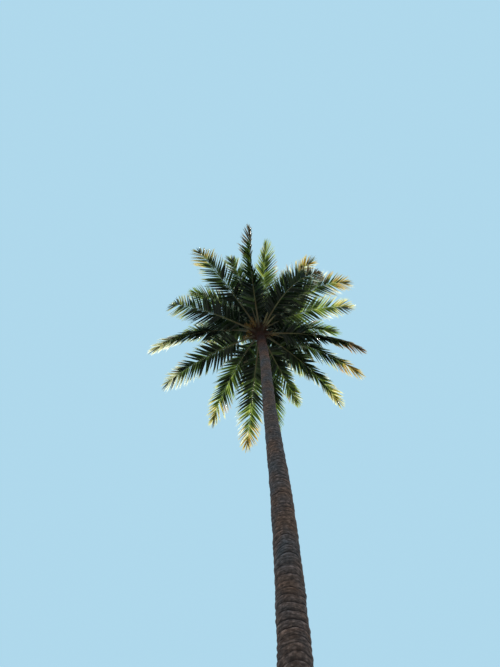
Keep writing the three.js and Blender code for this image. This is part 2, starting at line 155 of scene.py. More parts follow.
# Leaflets
LEAFLETS_END = 0.985
LEAFLET_LENGTH = 0.750
FIRST_LENGTH = 0.62
LONGEST_AT = 0.3
TIP_SHORTENING = 0.34
LENGTH_GAIN = 1.06
LEAFLET_ANGLE_BASE = 72
LEAFLET_ANGLE_TIP = 36
HANG_CLOSING = 0.26
TIP_GATHERING = 0.55
GATHERING_FROM = 0.78
TIP_FAN_FROM = 0.92
LEAFLET_LIFT_BASE = 14
LEAFLET_LIFT_TIP = -12
LEAFLET_TILT = 0.4
LEAFLET_SAG = 0.42
LEAFLET_WIDTH = 0.056
WIDTH_SHARE_BASE = 1.08
WIDTH_SHARE_TIP = 0.55
LEAFLETS_A_SIDE = 120
LEAFLET_STEPS = 8
LEAFLET_CROWDING = 1.15
TUFT_SIZE = 4
TUFT_LEAN = 1.8
THINNING = 0.02
# Places of a leaflet's root beside and above the rib's middle, in widths and depths
ROOT_OUT = 0.42
ROOT_UP = 0.2
# Spread between tufts, and between the leaflets of a tuft
ANGLE_SPREAD = (1.8, 0.8)
LIFT_SPREAD = (4, 2)
LENGTH_SPREAD = (0.06, 0.04)
TILT_SPREAD = (0.45, 0.12)
SAG_SPREAD = (0.12, 0.05)
SHADE_SPREAD = (0.6, 0.2)
# Outline of a leaflet: shares of its length and of its width
BLADE_PLACES = [0, 0.14, 0.35, 0.6, 0.85, 1]
BLADE_WIDTHS = [0.5, 0.95, 1.0, 0.70, 0.27, 0.02]
BLADE_FOLD = 0.42
BLADE_CURL = 0.05
BLADE_TWIST = 0.4
SAG_AT_ROOT = 0.035
SAG_AT_END = 0.26

# Launch and droop in degrees, length, height of the seat on the heart, stoutness of the ribs,
# share of the length that is bare stalk
TIERS = {
    "low": (10, 80, 4.3, 0.15, 1.0, 0.2),
    "middle": (32, 92, 4.4, 0.43, 0.95, 0.19),
    "upper": (54, 98, 4.3, 0.74, 0.85, 0.15),
    "young": (73, 42, 3.3, 1.01, 0.65, 0.09),
}

# Bearing in degrees, share of the tier's length, sideways sweep, twist, step of the seat, degrees raised
# above the tier's launch, how far the leaflets hang in degrees, how fresh the green is, colour of the tip
FRONDS = {
    "low": [
        (1, 0.85, 14, 14, 0, 6, 80, -0.6, "brown"),
        (62, 0.65, -8, -18, 0.02, 0, 50, 1.0, "lime"),
        (97, 0.93, 1, 8, -0.02, -3, 20, 0.9, "orange"),
        (156, 0.89, -3, -16, 0, 5, 25, -0.3, "straw_and_highlight"),
        (205, 0.85, 0, -10, 0.02, -5, 0, -0.4, "yellow"),
        (261, 0.94, 12, -50, 0, 3, 70, 0.6, "brown"),
        (297, 0.81, 45, 20, -0.02, -4, 0, -0.5, "brown"),
    ],
    "middle": [
        (22, 0.96, 4, 16, 0.07, 6, 60, -0.2, "orange"),
        (37, 0.91, 12, -32, -0.07, -6, 62, 0.5, "yellow"),
        (77, 0.88, 8, 14, 0.04, 3, 30, 0.4, "fresh"),
        (121, 0.875, -8, -14, 0, -5, 30, 1.0, "yellow"),
        (177, 0.94, -20, 10, 0.02, 5, 70, 0.0, "straw_and_highlight"),
        (233, 0.885, 5, -12, 0.03, -4, 0, -0.3, "orange"),
        (317, 0.87, 41, 18, 0.02, 6, 0, 0.0, "orange"),
    ],
    "upper": [
        (342, 0.86, 13, -20, -0.08, -6, 15, 0.9, "yellow"),
        (10, 0.77, -12, 14, 0.08, 6, 20, 0.0, "fresh"),
        (42, 0.64, 4, -10, -0.08, -7, 30, 0.0, "lime"),
        (98, 0.90, -6, 22, 0.04, 5, 20, 0.3, "lime"),
        (173, 0.70, 5, -16, 0, -4, 10, 0.3, "lime"),
        (209, 0.73, -8, 12, 0.06, 6, 10, 0.0, "fresh"),
        (248, 0.70, 0, -22, -0.08, -5, 10, 0.6, "lime"),
        (277, 0.80, -8, 45, 0.08, 6, 20, 1.0, "lime"),
        (303, 0.79, 14, -14, 0, -3, 0, 0.0, "orange"),
    ],
    "young": [
        (330, 1.0, 10, 20, 0, -9, 0, 0.5, "lime"),
        (240, 0.92, -12, -16, 0.03, 4, 0, 0.3, "fresh"),
        (146, 1.0, 8, 18, 0, -5, 0, 0.5, "lime"),
        (60, 0.9, -10, -20, 0.03, 7, 0, 0.3, "fresh"),
    ],
}

# Bearing, launch, length, greatest radius, seat
SPATHES = [
    (292, 30, 0.72, 0.033, 0.262),
    (312, 26, 0.66, 0.030, 0.268),
]
# Outline of a spathe: shares of its length and of its greatest radius
SPATHE_PLACES = [0, 0.25, 0.45, 0.65, 0.82, 0.94, 1]
SPATHE_WIDTHS = [0.42, 0.46, 0.8, 1, 0.86, 0.42, 0.05]
SPATHE_ROWS = 40
SPATHE_COLUMNS = 36
SPATHE_GROOVES = 12
GROOVE_DEPTH = 0.045

# Bearing, launch, length of the stalk, number of sprigs, seat
FLOWER_BRANCHES = [
    (208, 30, 0.38, 26, 0.268),
    (236, 28, 0.33, 22, 0.266),
    (160, 24, 0.42, 26, 0.262),
    (8, 28, 0.40, 26, 0.264),
    (181, 34, 0.26, 18, 0.272),
]
STALK_RADIUS_BASE = 0.016
STALK_RADIUS_TIP = 0.007
STALK_ROWS = 12
STALK_COLUMNS = 10
FIRST_SPRIG = 0.42
LAST_SPRIG = 0.98
SPRIG_SPREAD_BASE = 48
SPRIG_SPREAD_TIP = 12
SPRIG_RADIUS_BASE = 0.0042
SPRIG_RADIUS_TIP = 0.0018
SPRIG_ROWS = 7
SPRIG_COLUMNS = 5
SPRIG_DROOP = 0.05
FLOWERS_A_SPRIG = 26
NUT_SHARE = 0.5
NUT_PLACE = 0.02

# Camera: an eye-level stand near the trunk's foot, looking up into the crown
EYE_HEIGHT = 1.6
EYE_BACK = 3.9
EYE_LEFT = 0.35
AIM_HEIGHT = 18.5
LENS_MM = 27.0
SENSOR_MM = 36.0
VIEW_LIMIT = 500

# Leaf colours from near-black green, deepened with painted shade of the inner crown, to dry tips, as linear
# red, green and blue
LEAF_TINTS = {
    "deep": (0.010, 0.018, 0.008),
    "dark": (0.026, 0.044, 0.016),
    "green": (0.072, 0.108, 0.036),
    "fresh": (0.155, 0.205, 0.058),
    "lime": (0.265, 0.290, 0.100),
    # Bluish grey: the waxy grey of the leaflets' undersides with a painted reflection of the sky
    "ash_and_sky_sheen": (0.150, 0.170, 0.170),
    "yellow": (0.395, 0.365, 0.185),
    "orange": (0.350, 0.275, 0.110),
    # Pale straw: the dry leaflets' own colour, made paler with a painted highlight of the backlit tips
    "straw_and_highlight": (0.560, 0.520, 0.420),
    "brown": (0.250, 0.178, 0.110),
}
GREENS = ["deep", "dark", "green", "fresh", "lime"]
# Tones between a green and a dry end: the end they lead to and the green they come from
WILTING = {"yellow": "fresh", "orange": "fresh", "straw_and_highlight": "green", "brown": "green"}
WILTED_SHARE = 0.32
# Share of the light that passes through a blade, and how much brighter its tint glows then
GREEN_PASSING = 0.38
TIP_PASSING = 0.60
GREEN_GLOW = (2.6, 2.6, 1.9)
TIP_GLOW = (2.1, 2.1, 1.9)
# Spread of the tints along a frond; the greens darken towards the heart, partly their own deeper green and
# partly painted shade of the inner crown
SHADE_START = -0.05
SHADE_GAIN = 2.75
TURNING_FROM = 0.42
TURNING_TO = 0.92
STRAW_AND_HIGHLIGHT_FROM = 0.8
GREEN_SHARE = 0.95

# Colour and roughness of the smooth skins
SMOOTH_SKINS = {
    # The petiole tones darken towards the heart: the stalks' own tan brown deepened with painted shade of
    # the crown's heart
    "petiole_base": ((0.035, 0.019, 0.013), 0.8),
    "petiole_foot": ((0.064, 0.044, 0.019), 0.7),
    "petiole": ((0.094, 0.072, 0.027), 0.6),
    "rib": ((0.118, 0.115, 0.050), 0.5),
    "rib_end": ((0.230, 0.200, 0.080), 0.5),
    "spathe": ((0.170, 0.125, 0.048), 0.6),
    "spear": ((0.330, 0.380, 0.110), 0.45),
    "flower_stalk": ((0.190, 0.105, 0.022), 0.6),
    "flower": ((0.340, 0.150, 0.020), 0.7),
    "button_nut": ((0.180, 0.240, 0.050), 0.4),
}
SKIN_SHEEN = 0.4
LEAF_ROUGHNESS = 0.26
LEAF_SHEEN = 0.55
VEINS = 9.0
VEIN_WAVERING = 0.6
VEIN_STRENGTH = 0.35
VEIN_DEPTH = 0.0006
BARK_GRAIN = 0.004
# How far below the top the red-brown under the crown starts and is full: young bark and painted shade
YOUNG_BARK_AND_SHADE_BELOW = 3.4
YOUNG_BARK_AND_SHADE_TOP = 0.6

# Stage: a plain floor, an even sky and a soft sun high up behind the crown
FLOOR_RADIUS = 90
FLOOR_CORNERS = 96
FLOOR_DROP = 0.002
FLOOR_COLOUR = (0.15, 0.15, 0.142)
SKY_COLOUR = (0.43, 0.69, 0.84, 1)
SUN_COLOUR = (1.0, 0.95, 0.86)
SUN_STRENGTH = 7.4
SUN_SPREAD = 12
TOWARD_SUN = (0.12, 0.36, 0.93)


def wilting_tone(end):
    pair = zip(LEAF_TINTS[WILTING[end]], LEAF_TINTS[end])
    return tuple(a + (b - a) * WILTED_SHARE for a, b in pair)


LEAF_TINTS.update({"wilting_" + end: wilting_tone(end) for end in WILTING})
TINT_NAMES = list(LEAF_TINTS)
# Place in the list of the tone a leaflet passes through before each end tint, -1 for its own green
BETWEEN = {name: -1 for name in TINT_NAMES}
BETWEEN.update({end: TINT_NAMES.index("wilting_" + end) for end in WILTING})


def trunk_bow(height):
    bow = BOW_SIZE * np.sin(np.pi * height / BOW_LENGTH)
    return bow + SWAY_SIZE * np.cos(2 * np.pi * (height - SWAY_PEAK) / SWAY_LENGTH)


def trunk_offset(height):
    return trunk_bow(height) - trunk_bow(0)


def trunk_radius(height):
    swell = LOWER_SWELL / (1 + np.exp((height - SWELL_FADE_HEIGHT) / SWELL_FADE_LENGTH))
    flare = FLARE_SIZE * np.exp(-height / FLARE_HEIGHT)
    skirt = SKIRT_SIZE * np.exp(-height / SKIRT_HEIGHT)
    return SHAFT_RADIUS + swell + flare + skirt


CROWN_X = float(trunk_offset(TRUNK_HEIGHT))
UP = np.array([0.0, 0.0, 1.0])


def mix(a, b, share):
    return a + (b - a) * share


# Share of the way from one value to another, held at 0 before it and at 1 beyond
def risen(values, start, end):
    return np.clip((values - start) / (end - start), 0, 1)


# Waves over a skin that is given by height and turn, added to a first one if there is one
def skin_waves(waves, z, turn, total=0.0):
    for size, times, pace, start in waves:
        total = total + size * np.sin(times * turn + pace * z + start)
    return total


# Rounded hump or hollow at one place of a stretch
def hump(part, size, place, width):
    return size * np.exp(-(((part - place) / width) ** 2))


def unit(rows):
    return rows / np.linalg.norm(rows, axis=-1, keepdims=True)


# Smooth noise of one number, made of sines whose phases come from the seed
def wander(values, seed):
    rng = np.random.default_rng([SEED, seed])
    total = np.zeros_like(np.asarray(values, float))
    for i in range(WANDER_WAVES):
        pace = (i + 1) * rng.uniform(0.7, 1.3)
        total += np.sin(pace * values + rng.uniform(0, 2 * np.pi)) / (i + 1)
    return total / WANDER_LEVEL


class Shape:
    """Points, faces and the material slot of each face, gathered into one mesh."""

    def __init__(self):
        self.points = []
        self.faces = []
        self.slots = []
        self.sharp = []
        self.count = 0

    def add(self, points, faces, slots, sharp=None):
        points = np.asarray(points, float).reshape(-1, 3)
        faces = np.asarray(faces, int)
        self.points.append(points)
        self.faces.append(faces + self.count)
        self.slots.append(np.broadcast_to(np.asarray(slots, int), (len(faces),)))
        self.sharp.append(np.zeros(len(points), bool) if sharp is None else sharp)
        self.count += len(points)

    def build(self, name, materials):
        mesh = bpy.data.meshes.new(name)
        faces = [face for block in self.faces for face in block.tolist()]
        faces = [face[:3] if face[2] == face[3] else face for face in faces]
        mesh.from_pydata(np.vstack(self.points).tolist(), [], faces)
        mesh.polygons.foreach_set("material_index", np.concatenate(self.slots).astype(np.int32))
        mesh.polygons.foreach_set("use_smooth", np.full(len(faces), True))
        mark_sharp(mesh, np.concatenate(self.sharp))
        for material in materials:
            mesh.materials.append(material)
        piece = bpy.data.objects.new(name, mesh)
        bpy.context.scene.collection.objects.link(piece)
        return piece


def mark_sharp(mesh, sharp):
    if not sharp.any():
        return
    ends = np.zeros(2 * len(mesh.edges), np.int32)
    mesh.edges.foreach_get("vertices", ends)
    ends = ends.reshape(-1, 2)
    mesh.edges.foreach_set("use_edge_sharp", sharp[ends[:, 0]] & sharp[ends[:, 1]])


# Faces of a sheet of rows by columns, closed round on itself if asked
def sheet_faces(rows, columns, closed):
    across = columns if closed else columns - 1
    k, i = np.meshgrid(np.arange(rows - 1), np.arange(across), indexing="ij")
    j = (i + 1) % columns
    a, b = k * columns + i, k * columns + j
    return np.stack([a, b, b + columns, a + columns], axis=-1).reshape(-1, 4)


# Flat end of a tube, as triangles written with their last corner twice
def end_faces(start, count, outward):
    i = np.arange(1, count - 1)
    zero = np.zeros_like(i)
    second, third = (i, i + 1) if outward else (i + 1, i)
    return start + np.stack([zero, second, third, third], axis=-1)


# Faces of an upright tube that is closed at both ends
def tube_faces(rows, columns):
    last = (rows - 1) * columns
    ends = [end_faces(0, columns, False), end_faces(last, columns, True)]
    return np.vstack([sheet_faces(rows, columns, True), *ends])


# Course of a rib as points from the heart outward
def rib_course(frond):
    bearing = math.radians(frond["bearing"])
    start = np.array([math.cos(bearing), math.sin(bearing), 0.0]) * RIB_INSET
    start += np.array([CROWN_X, 0.0, TRUNK_HEIGHT + frond["seat"]])
    steps = rib_direction(frond, (np.arange(RIB_STEPS) + 0.5) / RIB_STEPS)
    steps *= frond["length"] / RIB_STEPS
    return np.vstack([start, start + np.cumsum(steps, axis=0)])


def rib_turn(frond, share):
    return np.radians(frond["bearing"] + frond["sweep"] * share**2)


def rib_direction(frond, share):
    rise = np.radians(frond["launch"] - frond["droop"] * share**DROOP_POWER)
    turn = rib_turn(frond, share)
    return np.stack([np.cos(rise) * np.cos(turn), np.cos(rise) * np.sin(turn), np.sin(rise)], axis=-1)


# Rows of vectors turned about rows of axes by rows of angles
def turned(rows, axes, angles):
    cosine, sine = np.cos(angles)[..., None], np.sin(angles)[..., None]
    along = np.sum(rows * axes, axis=-1, keepdims=True)
    return rows * cosine + np.cross(axes, rows) * sine + axes * along * (1 - cosine)


# Points and frames at shares of the rib's length
def rib_frames(frond, share):
    share = np.asarray(share, float)
    place = np.minimum(share * RIB_STEPS, RIB_STEPS - 1e-6)
    low = place.astype(int)
    part = (place - low)[..., None]
    point = frond["course"][low] * (1 - part) + frond["course"][low + 1] * part
    along = rib_direction(frond, share)
    turn = rib_turn(frond, share)
    side = np.stack([-np.sin(turn), np.cos(turn), np.zeros_like(turn)], axis=-1)
    side = turned(side, along, np.radians(frond["twist"]) * share**2)
    return point, along, side, np.cross(along, side)


def rib_width(frond, share):
    taper = mix(RIB_WIDTH_BASE, RIB_WIDTH_TIP, np.minimum(1, share / 0.9) ** 0.45)
    return frond["stout"] * taper


# Width of the rib with the swelling of its foot
def foot_width(frond, share):
    return rib_width(frond, share) * (1 + RIB_FOOT_SWELL * np.exp(-share / RIB_FOOT_SHARE))


def rib_depth(frond, share):
    taper = mix(RIB_DEPTH_BASE, RIB_DEPTH_TIP, np.minimum(1, share / 0.95) ** 0.6)
    return frond["stout"] * taper


# Share of the full length, which leaflets reach a third of the way out and lose again at the tip
def leaflet_length(leafy):
    growing = FIRST_LENGTH + (1 - FIRST_LENGTH) * np.sin(np.pi / 2 * np.minimum(1, leafy / LONGEST_AT))
    falling = 1 - TIP_SHORTENING * ((leafy - LONGEST_AT) / (1 - LONGEST_AT)) ** 2
    return np.where(leafy < LONGEST_AT, growing, falling)


# Angle between leaflet and rib, which closes quickly at the very tip so that no notch is left there
def leaflet_angle(frond, leafy):
    tip = LEAFLET_ANGLE_TIP - HANG_CLOSING * frond["hang"]
    gathering = 1 - TIP_GATHERING * risen(leafy, GATHERING_FROM, 1) ** 1.5
    return mix(LEAFLET_ANGLE_BASE, tip, leafy**0.75) * gathering


def list_fronds():
    fronds = []
    for tier, rows in FRONDS.items():
        launch, droop, length, seat, stout, bare = TIERS[tier]
        for i, (bearing, reach, sweep, twist, step, lifted, hang, fresh, tip) in enumerate(rows):
            frond = {"name": f"frond_{tier}_{i + 1}", "tier": tier, "tip": tip, "index": len(fronds)}
            frond.update(launch=launch + lifted, droop=droop, length=length * reach, seat=seat + step)
            frond.update(stout=stout, bearing=bearing, sweep=sweep, twist=twist)
            frond.update(bare=bare, hang=hang, fresh=fresh)
            frond["course"] = rib_course(frond)
            fronds.append(frond)
    return fronds


# Material with a Principled shader, its plain values set on the shader's own sockets
def new_material(name, colour, roughness, specular=0.5):
    material = bpy.data.materials.new(name)
    material.use_nodes = True
    shader = material.node_tree.nodes["Principled BSDF"]
    shader.inputs["Base Color"].default_value = (*colour, 1.0)
    shader.inputs["Roughness"].default_value = roughness
    shader.inputs["Specular IOR Level"].default_value = specular
    material.diffuse_color = (*colour, 1.0)
    return material


def add_node(material, kind, **settings):
    node = material.node_tree.nodes.new(kind)
    for key, value in settings.items():
        setattr(node, key, value)
    return node


def link(material, source, target):
    material.node_tree.links.new(source, target)


# Noise on a stretched copy of the object's coordinates
def stretched_noise(material, stretch, scale, detail=4.0):
    place = add_node(material, "ShaderNodeTexCoord")
    mapping = add_node(material, "ShaderNodeMapping")
    mapping.inputs["Scale"].default_value = stretch
    noise = add_node(material, "ShaderNodeTexNoise")
    noise.inputs["Scale"].default_value = scale
    noise.inputs["Detail"].default_value = detail
    link(material, place.outputs["Object"], mapping.inputs["Vector"])
    link(material, mapping.outputs["Vector"], noise.inputs["Vector"])
    return noise


def add_bump(material, height, strength, distance, below=None):
    bump = add_node(material, "ShaderNodeBump")
    bump.inputs["Strength"].default_value = strength
    bump.inputs["Distance"].default_value = distance
    link(material, height, bump.inputs["Height"])
    if below is not None:
        link(material, below.outputs["Normal"], bump.inputs["Normal"])
    return bump


def colour_ramp(material, factor, stops):
    ramp = add_node(material, "ShaderNodeValToRGB")
    for element, (position, colour) in zip(ramp.color_ramp.elements, (stops[0], stops[-1])):
        element.position = position
        element.color = (*colour, 1)
    for position, colour in stops[1:-1]:
        ramp.color_ramp.elements.new(position).color = (*colour, 1)
    link(material, factor, ramp.inputs["Fac"])
    return ramp


# Leaf: a waxy blade that lets some light through, with fine veins along it
def leaf_material(name, colour):
    green = name in GREENS
    material = new_material("leaf_" + name, colour, LEAF_ROUGHNESS, LEAF_SHEEN)
    tree = material.node_tree
    shader = tree.nodes["Principled BSDF"]
    through = add_node(material, "ShaderNodeBsdfTranslucent")
    glow = tuple(min(1.0, c * g) for c, g in zip(colour, GREEN_GLOW if green else TIP_GLOW))
    through.inputs["Color"].default_value = (*glow, 1)
    blend = add_node(material, "ShaderNodeMixShader")
    blend.inputs["Fac"].default_value = GREEN_PASSING if green else TIP_PASSING
    link(material, shader.outputs["BSDF"], blend.inputs[1])
    link(material, through.outputs["BSDF"], blend.inputs[2])
    link(material, blend.outputs["Shader"], tree.nodes["Material Output"].inputs["Surface"])
    veins = add_node(material, "ShaderNodeTexWave", bands_direction="X")
    veins.inputs["Scale"].default_value = VEINS
    veins.inputs["Distortion"].default_value = VEIN_WAVERING
    place = add_node(material, "ShaderNodeUVMap", uv_map="blade")
    link(material, place.outputs["UV"], veins.inputs["Vector"])
    bump = add_bump(material, veins.outputs["Fac"], VEIN_STRENGTH, VEIN_DEPTH)
    link(material, bump.outputs["Normal"], shader.inputs["Normal"])
    return material


# Smooth skin of ribs, husks and flowers, with faint unevenness
def skin_material(name, colour, roughness):
    material = new_material(name, colour, roughness, SKIN_SHEEN)
    shader = material.node_tree.nodes["Principled BSDF"]
    noise = stretched_noise(material, (1, 1, 1), 55.0)
    bump = add_bump(material, noise.outputs["Fac"], 0.3, 0.002)
    link(material, bump.outputs["Normal"], shader.inputs["Normal"])
    return material


# Bark: brown with weathered grey blotches and pale speckles of lichen, with painted shade in the groove at
# each ring and a painted highlight on its lip
def bark_material():
    material = new_material("bark", (0.13, 0.10, 0.085), 0.9, 0.2)
    shader = material.node_tree.nodes["Principled BSDF"]
    # Painted shade in each ring's groove and a painted highlight on its lip
    groove = ring_shade_and_highlight(material)
    speckle = stretched_noise(material, (1, 1, 2.2), 21.0, 8.0)
    blotches = stretched_noise(material, (1, 1, 0.7), 2.6, 6.0)
    fissures = stretched_noise(material, (1, 1, 0.12), 42.0, 5.0)
    ground = colour_ramp(
        material,
        blotches.outputs["Fac"],
        [(0.36, (0.150, 0.080, 0.056)), (0.50, (0.116, 0.073, 0.062)), (0.64, (0.090, 0.074, 0.074))],
    )
    fleck = colour_ramp(
        material,
        speckle.outputs["Fac"],
        [(0.36, (0.50, 0.48, 0.47)), (0.52, (0.98, 0.96, 0.95)), (0.68, (2.0, 2.0, 2.02))],
    )
    crack = colour_ramp(
        material,
        fissures.outputs["Fac"],
        [(0.34, (0.78, 0.76, 0.75)), (0.46, (1.0, 1.0, 1.0)), (0.70, (1.05, 1.05, 1.05))],
    )
    # Random patches where the painted ring shade and highlight are weaker
    ring_shade_strength = add_node(material, "ShaderNodeMapRange")
    for key, value in (("From Min", 0.40), ("From Max", 0.60), ("To Min", 1.0), ("To Max", 0.55)):
        ring_shade_strength.inputs[key].default_value = value
    ring_shade_patches = stretched_noise(material, (1, 1, 3.5), 2.1, 2.0)
    link(material, ring_shade_patches.outputs["Fac"], ring_shade_strength.inputs["Value"])
    colour = multiplied(material, ground.outputs["Color"], fleck.outputs["Color"])
    colour = multiplied(material, colour, crack.outputs["Color"])
    colour = multiplied(material, colour, groove.outputs["Color"], ring_shade_strength.outputs["Result"])
    # Red-brown under the crown: young bark and painted shade cast by the fronds
    fresh = young_bark_and_crown_shade(material, TRUNK_HEIGHT - YOUNG_BARK_AND_SHADE_BELOW, TRUNK_HEIGHT - YOUNG_BARK_AND_SHADE_TOP)
    colour = multiplied(material, colour, fresh.outputs["Color"])
    link(material, colour, shader.inputs["Base Color"])
    first = add_bump(material, speckle.outputs["Fac"], 0.5, BARK_GRAIN)
    second = add_bump(material, fissures.outputs["Fac"], 0.5, BARK_GRAIN, below=first)
    link(material, second.outputs["Normal"], shader.inputs["Normal"])
    return material


# Painted shade that runs dark into the groove at the end of each ring, and a painted highlight on the lip
# before it, their edge broken up by noise
def ring_shade_and_highlight(material):
    place = add_node(material, "ShaderNodeUVMap", uv_map="rings")
    split = add_node(material, "ShaderNodeSeparateXYZ")
    link(material, place.outputs["UV"], split.inputs["Vector"])
    ragged = stretched_noise(material, (1, 1, 1), 14.0, 5.0)
    shift = add_node(material, "ShaderNodeMath", operation="MULTIPLY_ADD")
    shift.inputs[1].default_value = RING_RAGGEDNESS
    link(material, ragged.outputs["Fac"], shift.inputs[0])
    link(material, split.outputs["Y"], shift.inputs[2])
    part = add_node(material, "ShaderNodeMath", operation="FRACT")
    link(material, shift.outputs["Value"], part.inputs[0])
    return colour_ramp(
        material,
        part.outputs["Value"],
        [
            (0.0, (0.24, 0.20, 0.19)),
            (0.07, (0.42, 0.38, 0.36)),
            (0.20, (0.80, 0.78, 0.76)),
            (0.55, (1.05, 1.05, 1.05)),
            (0.80, (1.50, 1.50, 1.52)),
            (0.90, (0.80, 0.76, 0.74)),
            (0.94, (0.24, 0.20, 0.19)),
        ],
    )


# Dark red-brown under the crown: the young bark's own colour, deepened by painted shade cast by the fronds
def young_bark_and_crown_shade(material, start, end):
    place = add_node(material, "ShaderNodeTexCoord")
    split = add_node(material, "ShaderNodeSeparateXYZ")
    link(material, place.outputs["Object"], split.inputs["Vector"])
    rise = add_node(material, "ShaderNodeMapRange")
    rise.inputs["From Min"].default_value = start
    rise.inputs["From Max"].default_value = end
    link(material, split.outputs["Z"], rise.inputs["Value"])
    return colour_ramp(
        material,
        rise.outputs["Result"],
        [(0.0, (1, 1, 1)), (0.4, (0.9, 0.72, 0.68)), (1.0, (0.32, 0.18, 0.16))],
    )


# Product of two colours, the second weakened by a share if one is given
def multiplied(material, first, second, share=None):
    blend = add_node(material, "ShaderNodeMix", data_type="RGBA", blend_type="MULTIPLY")
    blend.inputs["Factor"].default_value = 1.0
    if share is not None:
        link(material, share, blend.inputs["Factor"])
    link(material, first, blend.inputs["A"])
    link(material, second, blend.inputs["B"])
    return blend.outputs["Result"]


# Fibre: dark red-brown strands that run upward
def fibre_material():
    material = new_material("leaf_fibre", (0.11, 0.065, 0.038), 0.95, 0.1)
    shader = material.node_tree.nodes["Principled BSDF"]
    strands = stretched_noise(material, (14, 14, 2.0), 9.0, 6.0)
    tone = colour_ramp(
        material,
        strands.outputs["Fac"],
        [(0.32, (0.012, 0.007, 0.005)), (0.55, (0.045, 0.023, 0.016)), (0.75, (0.120, 0.066, 0.042))],
    )
    link(material, tone.outputs["Color"], shader.inputs["Base Color"])
    bump = add_bump(material, strands.outputs["Fac"], 0.8, 0.006)
    link(material, bump.outputs["Normal"], shader.inputs["Normal"])
    return material


def make_materials():
    made = {"bark": bark_material(), "fibre": fibre_material()}
    for name, colour in LEAF_TINTS.items():
        made[name] = leaf_material(name, colour)
    for name, (colour, roughness) in SMOOTH_SKINS.items():
        made[name] = skin_material(name, colour, roughness)
    return made


# Trunk with the relief of its leaf scars, its rows of points following the rings
def make_trunk(materials):
    turns = 2 * np.pi * np.arange(TRUNK_COLUMNS) / TRUNK_COLUMNS
    heights = np.linspace(0, TRUNK_HEIGHT, HEIGHT_SAMPLES)
    first = max(float(scar_phase(0.0, turn)) for turn in turns)
    last = min(float(scar_phase(TRUNK_HEIGHT, turn)) for turn in turns)
    rings = np.arange(math.ceil(first), math.floor(last))
    phases = (rings[:, None] + np.array(RING_PARTS)[None, :]).reshape(-1)
    columns = [np.interp(phases, scar_phase(heights, turn), heights) for turn in turns]
    z = np.stack(columns, axis=1)
    foot = np.linspace(0, z[0], FOOT_ROWS, endpoint=False)
    top = np.linspace(TRUNK_HEIGHT + 0 * z[-1], z[-1], TOP_ROWS, endpoint=False)[::-1]
    z = np.vstack([foot, z, top])
    turn = np.broadcast_to(turns, z.shape)
    phase = scar_phase(z, turn)
    radius = trunk_radius(z) + scar_relief(phase, z, turn)
    points = np.stack([trunk_offset(z) + radius * np.cos(turn), radius * np.sin(turn), z], axis=-1)
    shape = Shape()
    shape.add(points, tube_faces(len(z), TRUNK_COLUMNS), 0)
    piece = shape.build("trunk_bark", [materials["bark"]])
    add_ring_map(piece, phase)
    finish_piece(piece, ["trunk"])


# Ring coordinates for the bark: across the trunk and the count of rings passed
def add_ring_map(piece, phase):
    mesh = piece.data
    layer = mesh.uv_layers.new(name="rings")
    corners = np.zeros(len(mesh.loops), np.int32)
    mesh.loops.foreach_get("vertex_index", corners)
    across = (corners % TRUNK_COLUMNS) / TRUNK_COLUMNS
    passed = phase.reshape(-1)[corners] - 0.5 * RING_RAGGEDNESS
    layer.data.foreach_set("uv", np.stack([across, passed], axis=-1).astype(np.float32).reshape(-1))


# Count of scars passed at a height, wavy round the trunk
def scar_phase(z, turn):
    share = z / TRUNK_HEIGHT
    passed = z * mix(1 / SCAR_PITCH_LOW, 1 / SCAR_PITCH_HIGH, 0.5 * share)
    tilt = SCAR_TILT * np.sin(turn + TILT_TURNING * z + TILT_SWAY * np.sin(TILT_SWAY_PACE * z))
    return skin_waves(SCAR_CROWDING, z, turn, passed + skin_waves(SCAR_WAVES, z, turn, tilt))


# Each scar is a lip that stands out above and falls away below, deeper in some rings than others,
# and faint in the swollen foot
def scar_relief(phase, z, turn):
    part = phase - np.floor(phase)
    ring = np.floor(phase)
    depth = SCAR_EVENNESS + (1 - SCAR_EVENNESS) * np.sin(ring * GOLDEN_ANGLE) * np.cos(turn + ring * 1.1)
    profile = hump(part, *SCAR_LIP) - hump(part, *SCAR_GROOVE) + SCAR_SLOPE * part
    lumps = LUMP_SIZE * np.sin(3 * turn + 2.2 * z) * np.sin(5.1 * z + 0.7)
    lumps += skin_waves(BARK_LUMPS, z, turn)
    step = STEP_SIZE * np.sin(1.7 * ring) * np.sin(np.pi * part)
    fading = 1 - FOOT_SMOOTHING * np.exp(-z / FOOT_FADE)
    return SCAR_DEPTH * depth * profile * fading + lumps + step + foot_relief(z, turn)


# Root lobes and upright furrows of the swollen foot
def foot_relief(z, turn):
    lobes = skin_waves(ROOT_LOBES, z, turn)
    furrows = np.abs(np.sin(FURROWS * turn + FURROW_WAVER * np.sin(6 * z))) ** 0.5 - 0.75
    return (LOBE_SIZE * lobes + FURROW_SIZE * furrows) * np.exp(-z / FOOT_FADE)


def heart_radius(rise):
    share = rise / HEART_HEIGHT
    collar = COLLAR_SIZE * np.sin(np.pi * np.minimum(1, share * 1.2) ** 0.75)
    return mix(SHAFT_RADIUS, SPEAR_RADIUS + HEART_MARGIN, share**HEART_TAPER) + collar


